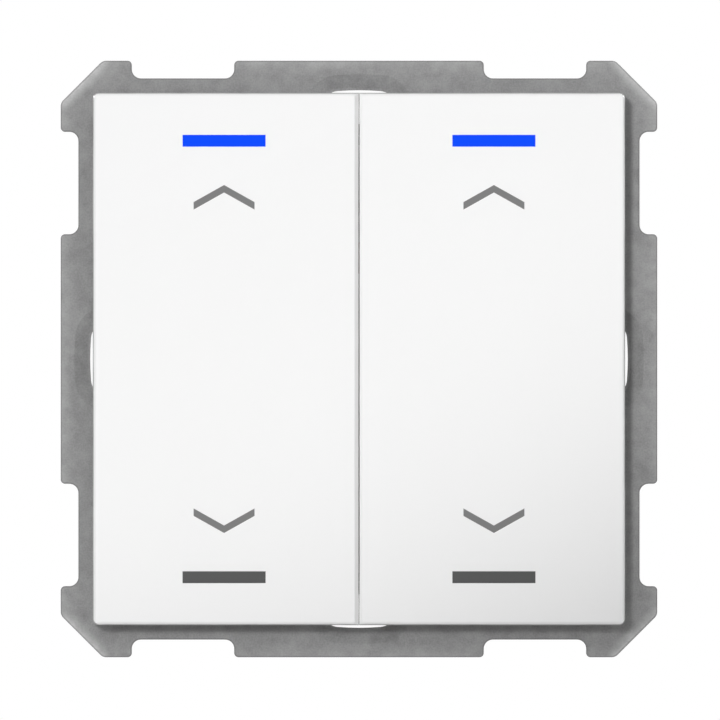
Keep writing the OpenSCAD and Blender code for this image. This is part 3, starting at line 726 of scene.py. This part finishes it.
class SENSOR_OT_rockers(bpy.types.Operator):
    """Lean the rockers' skirts out by the draft of their mould and give them their white plastic"""

    bl_idname = "sensor.rockers"
    bl_label = "Rockers"

    def execute(self, context):
        look = context.scene.sensor_rocker
        white = polished("rocker_white", tuple(look.white))
        for side in SIDES:
            shell = merged_copy(f"rocker_{side}", f"rocker_shell_{side}")
            self.lean(shell.data, look)
            coat(shell.data, white)
            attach(shell, f"rocker_{side}")
            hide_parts(f"rocker_{side}")
        return {"FINISHED"}

    def lean(self, mesh, look):
        """Leans the outer skirts out, narrows the seam and slopes the left rocker's edge there."""
        outside = max(vertex.co.z for vertex in mesh.vertices)
        front = min(vertex.co.y for vertex in mesh.vertices)
        foot = max(vertex.co.y for vertex in mesh.vertices if vertex.co.z > outside - HAIR)
        side = 1.0 if mesh.vertices[0].co.x > 0 else -1.0
        inner = min(abs(vertex.co.x) for vertex in mesh.vertices) + look.edge_radius
        for vertex in mesh.vertices:
            fall = vertex.co.y - front
            share = fall / (foot - front)
            if side < 0 and abs(vertex.co.x) < inner and fall < look.edge_radius + look.closeness:
                if fall < look.edge_radius - look.closeness:
                    vertex.co.x = side * (inner - fall / look.seam_slope)
                else:
                    vertex.co.y = front + look.seam_slope * (look.edge_radius + look.seam_fill)
            if abs(vertex.co.x) < look.seam:
                deep = min(1.0, (vertex.co.y - front) / look.seam_depth)
                stands_out = look.seam_fill + (look.seam_draft - look.seam_fill) * deep
                vertex.co.x -= side * stands_out
            elif abs(vertex.co.x) > outside - look.corner:
                vertex.co.x += side * look.draft * share
            if abs(vertex.co.z) > outside - look.corner:
                vertex.co.z += math.copysign(look.draft * share, vertex.co.z)


class SENSOR_OT_arrow_marks(bpy.types.Operator):
    """Print the arrow marks on both rockers"""

    bl_idname = "sensor.arrow_marks"
    bl_label = "Arrow marks"

    def execute(self, context):
        look = context.scene.sensor_arrow
        ink = moulded(
            "arrow_ink", tuple(look.ink), gloss=0.5, grain=0.0002, depth=0.000001, variation=0.02
        )
        tree = arrow_tree(ink)
        for side in SIDES:
            low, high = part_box(f"lens_{side}_upper")
            made = grow(f"arrow_marks_{side}", tree, {
                "Width": look.width, "Stroke": look.stroke, "Slope": look.slope, "Tip": look.tip,
                "Middle": (low.x + high.x) / 2, "Face": FACE_Y, "Film": look.film,
            }, ink)
            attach(made, f"rocker_{side}")
        return {"FINISHED"}


class SENSOR_OT_windows(bpy.types.Operator):
    """Finish the lit and the dark light windows"""

    bl_idname = "sensor.windows"
    bl_label = "Light windows"

    def execute(self, context):
        look = context.scene.sensor_rocker
        lit = window("window_lit", (0.0, 0.003, 0.03), tuple(look.lit), look.glow, specular=0.04)
        dark = window("window_dark", tuple(look.smoked))
        for side in SIDES:
            finish_nodes([f"lens_{side}_upper"], lit)
            finish_nodes([f"lens_{side}_lower"], dark)
        return {"FINISHED"}


class SENSOR_OT_housing(bpy.types.Operator):
    """Finish the insert behind the ring, the cover in front of it and their screws"""

    bl_idname = "sensor.housing"
    bl_label = "Insert, cover and screws"

    def execute(self, context):
        finish_nodes(["insert_housing"], moulded(
            "insert_plastic", (0.022, 0.023, 0.025),
            gloss=0.48, grain=0.00045, depth=0.00001, variation=0.08,
        ))
        finish_nodes(["front_cover"], moulded(
            "cover_plastic", (0.78, 0.78, 0.78), gloss=0.45, grain=0.0004, depth=0.000006,
        ))
        finish_nodes(["housing_screws"], metal("screw_zinc", (0.62, 0.62, 0.60), 0.34))
        return {"FINISHED"}


class SENSOR_OT_mechanism(bpy.types.Operator):
    """Finish the plungers and make their return springs and contact domes"""

    bl_idname = "sensor.mechanism"
    bl_label = "Plungers, springs and domes"

    def execute(self, context):
        look = context.scene.sensor_coil
        finish_nodes(named("plunger"), moulded(
            "plunger_plastic", (0.72, 0.72, 0.69),
            gloss=0.3, grain=0.0002, depth=0.000002, variation=0.02,
        ))
        finish_nodes(["programming_button"], moulded(
            "button_plastic", (0.38, 0.010, 0.007),
            gloss=0.25, grain=0.0002, depth=0.000002, variation=0.02,
        ))
        wire = metal("spring_wire", (0.56, 0.57, 0.60), 0.22, brushed=(1.0, 0.2, 1.0))
        plate = metal("dome_plate", (0.62, 0.56, 0.40), 0.2)
        finish_nodes(["programming_dome"], plate)
        tree = spring_tree(wire)
        for side in SIDES:
            for end in ENDS:
                low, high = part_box(f"spring_{side}_{end}")
                middle = (low + high) / 2
                spring = grow(f"coil_spring_{side}_{end}", tree, {
                    "Radius": (high.x - low.x - look.spring_wire) / 2,
                    "Height": high.y - low.y - look.spring_wire,
                    "Turns": look.spring_turns, "Wire": look.spring_wire,
                    "Sides": look.wire_sides,
                    "X": middle.x, "Y": high.y - look.spring_wire / 2, "Z": middle.z,
                }, wire)
                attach(spring, "base")
                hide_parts(f"spring_{side}_{end}")
                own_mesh(spring)
                dome = merged_copy(f"dome_{side}_{end}", f"snap_dome_{side}_{end}")
                coat(dome.data, plate)
                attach(dome, "base")
                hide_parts(f"dome_{side}_{end}")
                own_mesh(dome)
        return {"FINISHED"}


class SENSOR_OT_electronics(bpy.types.Operator):
    """Finish the boards and what stands on them, and wind the choke"""

    bl_idname = "sensor.electronics"
    bl_label = "Boards and light pipes"

    def execute(self, context):
        finish_nodes(
            ["control_board", "bus_board"], board("board_mask", (0.012, 0.085, 0.035))
        )
        finish_nodes(["controller_chip"], moulded(
            "chip_epoxy", (0.016, 0.016, 0.017), gloss=0.5, grain=0.00015, variation=0.1,
        ))
        finish_nodes(["board_socket"], moulded(
            "socket_plastic", (0.018, 0.018, 0.019), gloss=0.4,
        ))
        finish_nodes(["board_header", "bus_pins"], metal(
            "contact_plating", (0.72, 0.50, 0.20), 0.25, brushed=(1.0, 0.1, 1.0),
        ))
        finish_nodes(["bus_capacitor"], polished(
            "capacitor_sleeve", (0.03, 0.07, 0.16), gloss=0.3, coating=0.4,
        ))
        finish_nodes(["bus_coil"], moulded(
            "choke_core", (0.05, 0.047, 0.045),
            gloss=0.55, grain=0.0002, depth=0.000008, variation=0.15,
        ))
        pipe = clear("light_pipe_plastic", (0.86, 0.91, 0.94))
        finish_nodes([*named("light_pipe"), "programming_light_pipe"], pipe)
        finish_nodes(named("diode"), moulded(
            "diode_ceramic", (0.75, 0.72, 0.60),
            gloss=0.3, grain=0.0002, depth=0.000002, variation=0.04,
        ))
        finish_nodes(["programming_diode"], window("diode_red_lens", (0.35, 0.01, 0.01)))
        self.wind_choke(context.scene.sensor_coil)
        return {"FINISHED"}

    def wind_choke(self, look):
        """Fills the choke's core with turns of lacquered wire, from rim to rim."""
        copper = metal("copper_lacquer", (0.50, 0.17, 0.06), 0.25)
        low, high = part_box("bus_coil")
        middle = (low + high) / 2
        room = high.y - low.y - 2 * CHOKE_RIM
        wound = grow("choke_winding", winding_tree(copper), {
            "Radius": (high.x - low.x) / 2 - CHOKE_INSET, "Wire": look.choke_wire,
            "Turns": int(room / look.choke_wire), "Sides": CHOKE_SIDES,
            "X": middle.x, "Y": high.y - CHOKE_RIM - look.choke_wire / 2, "Z": middle.z,
        }, copper)
        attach(wound, "base")


class SENSOR_OT_terminal(bpy.types.Operator):
    """Finish the red and the black half of the bus terminal"""

    bl_idname = "sensor.terminal"
    bl_label = "Bus terminal"

    def execute(self, context):
        halves = {"terminal_red": (0.40, 0.012, 0.012), "terminal_black": (0.012, 0.012, 0.013)}
        for half, rgb in halves.items():
            finish_nodes([half], polished(f"{half}_plastic", rgb, gloss=0.28, coating=0.15))
        return {"FINISHED"}


def backdrop_rays(tree):
    """1 for rays that show the background: to the camera, reflected or through clear plastic."""
    path = add(tree, "ShaderNodeLightPath")
    seen = maths(tree, "MAXIMUM", path.outputs["Is Camera Ray"], path.outputs["Is Glossy Ray"])
    return maths(tree, "MAXIMUM", seen, path.outputs["Is Transmission Ray"])


def floor_finish(rgb, glow):
    """Pale floor, lifted a little for the rays that show the background, so shadows stay."""
    made, tree, shader = surface("studio_floor")
    grain = noise(tree, place(tree), 12.0, 3.0)
    stain(tree, shader, grain, shade(rgb, 0.985), rgb)
    roughen(tree, shader, grain, 0.75, 0.85)
    shader.inputs["Emission Color"].default_value = WHITE
    lift = between(tree, backdrop_rays(tree), 0.0, 1.0, 0.0, glow)
    tree.links.new(lift, shader.inputs["Emission Strength"])
    return made


def spot_lamp(name, where, aim, energy, size, cone, blend):
    """A spot lamp that points at a place."""
    data = bpy.data.lights.new(name, "SPOT")
    data.energy = energy
    data.shadow_soft_size = size
    data.spot_size = cone
    data.spot_blend = blend
    lamp = placed(name, data)
    lamp.location = where
    lamp.rotation_euler = (aim - where).to_track_quat("-Z", "Y").to_euler()
    return lamp


class SENSOR_OT_stage(bpy.types.Operator):
    """Set up the floor, the lamps, the world and the camera"""

    bl_idname = "sensor.stage"
    bl_label = "Stage"

    def execute(self, context):
        look = context.scene.sensor_stage
        self.make_floor(look)
        self.make_world(context.scene, look)
        self.make_key(look)
        self.make_back(look)
        self.make_camera(context.scene, look)
        context.scene.view_settings.view_transform = "Standard"
        return {"FINISHED"}

    def make_floor(self, look):
        """A wide pale plane well below the sensor."""
        corners = [(-1, -1), (1, -1), (1, 1), (-1, 1)]
        points = [(x * FLOOR_REACH, y * FLOOR_REACH, -look.floor_drop) for x, y in corners]
        mesh = bpy.data.meshes.new("floor")
        mesh.from_pydata(points, [], [(0, 1, 2, 3)])
        mesh.materials.append(floor_finish(tuple(look.floor), look.floor_glow))
        floor = placed("floor", mesh)

    def make_world(self, scene, look):
        """White all round for the eye and for reflections, less bright for the light itself."""
        world = bpy.data.worlds.new("studio")
        scene.world = world
        world.use_nodes = True
        tree = world.node_tree
        tree.nodes.clear()
        strength = between(tree, backdrop_rays(tree), 0.0, 1.0, look.room_light, 1.0)
        sky = add(tree, "ShaderNodeBackground", {"Color": WHITE, "Strength": strength})
        add(tree, "ShaderNodeOutputWorld", {"Surface": sky.outputs[0]})

    def make_key(self, look):
        """A lamp up and to the left, close to the line of sight, and a ring of its like."""
        slide = look.key_distance * math.tan(look.key_offset)
        middle = Vector((-slide, -look.key_distance, slide))
        spots = [Vector((0.0, 0.0, 0.0))]
        for i in range(look.key_count):
            turn = 2 * math.pi * i / look.key_count
            spots.append(look.key_spread * Vector((math.cos(turn), 0.0, math.sin(turn))))
        for i, spot in enumerate(spots):
            key = spot_lamp(
                f"key_{i}", middle + spot, Vector(look.key_aim), look.key_power / len(spots),
                look.key_spread / 2, look.key_cone, look.key_blend,
            )
            key.visible_glossy = False

    def make_back(self, look):
        """Two lamps behind, left and right, that light the back and leave the front to the key."""
        aside, behind, above = look.back_place
        for name, where in (("back_left", -aside), ("back_right", aside)):
            spot_lamp(
                name, Vector((where, behind, above)), Vector((0.0, 0.0, 0.0)), look.back_power,
                look.back_size, look.back_cone, look.back_blend,
            )

    def make_camera(self, scene, look):
        """A long lens square to the wall."""
        data = bpy.data.cameras.new("camera")
        data.lens = look.lens
        data.sensor_width = FILM_WIDTH
        distance = look.view_width * look.lens / data.sensor_width
        data.clip_start = CLIP_START
        data.clip_end = distance + CLIP_BEHIND
        camera = placed("camera", data)
        camera.location = (look.right, FACE_Y - distance, look.up)
        camera.rotation_euler = (math.pi / 2, 0.0, 0.0)
        scene.camera = camera


class SENSOR_PT_panel(bpy.types.Panel):
    """The steps of the finish in order, and their values"""

    bl_idname = "SENSOR_PT_panel"
    bl_label = "Push-button sensor"
    bl_space_type = "VIEW_3D"
    bl_region_type = "UI"
    bl_category = "Sensor"

    def draw(self, context):
        for step in STEPS:
            self.layout.operator(step.bl_idname)
        for group in LOOKS:
            box = self.layout.box()
            look = getattr(context.scene, group)
            for name in LOOKS[group].__annotations__:
                box.prop(look, name)


STEPS = (
    SENSOR_OT_support_ring, SENSOR_OT_rockers, SENSOR_OT_arrow_marks, SENSOR_OT_windows,
    SENSOR_OT_housing, SENSOR_OT_mechanism, SENSOR_OT_electronics, SENSOR_OT_terminal,
    SENSOR_OT_stage,
)
LOOKS = {
    "sensor_ring": RingLook, "sensor_rocker": RockerLook, "sensor_arrow": ArrowLook,
    "sensor_coil": CoilLook, "sensor_stage": StageLook,
}


def register():
    """Registers the classes and gives the scene its property groups."""
    for kind in (*LOOKS.values(), *STEPS, SENSOR_PT_panel):
        bpy.utils.register_class(kind)
    for name, kind in LOOKS.items():
        setattr(bpy.types.Scene, name, PointerProperty(type=kind))


def unregister():
    """Takes back what register did."""
    for name in LOOKS:
        delattr(bpy.types.Scene, name)
    for kind in (SENSOR_PT_panel, *reversed(STEPS), *reversed(LOOKS.values())):
        bpy.utils.unregister_class(kind)


def main():
    """Runs every step."""
    register()
    for step in STEPS:
        area, action = step.bl_idname.split(".")
        getattr(getattr(bpy.ops, area), action)()


if __name__ == "__main__":
    main()
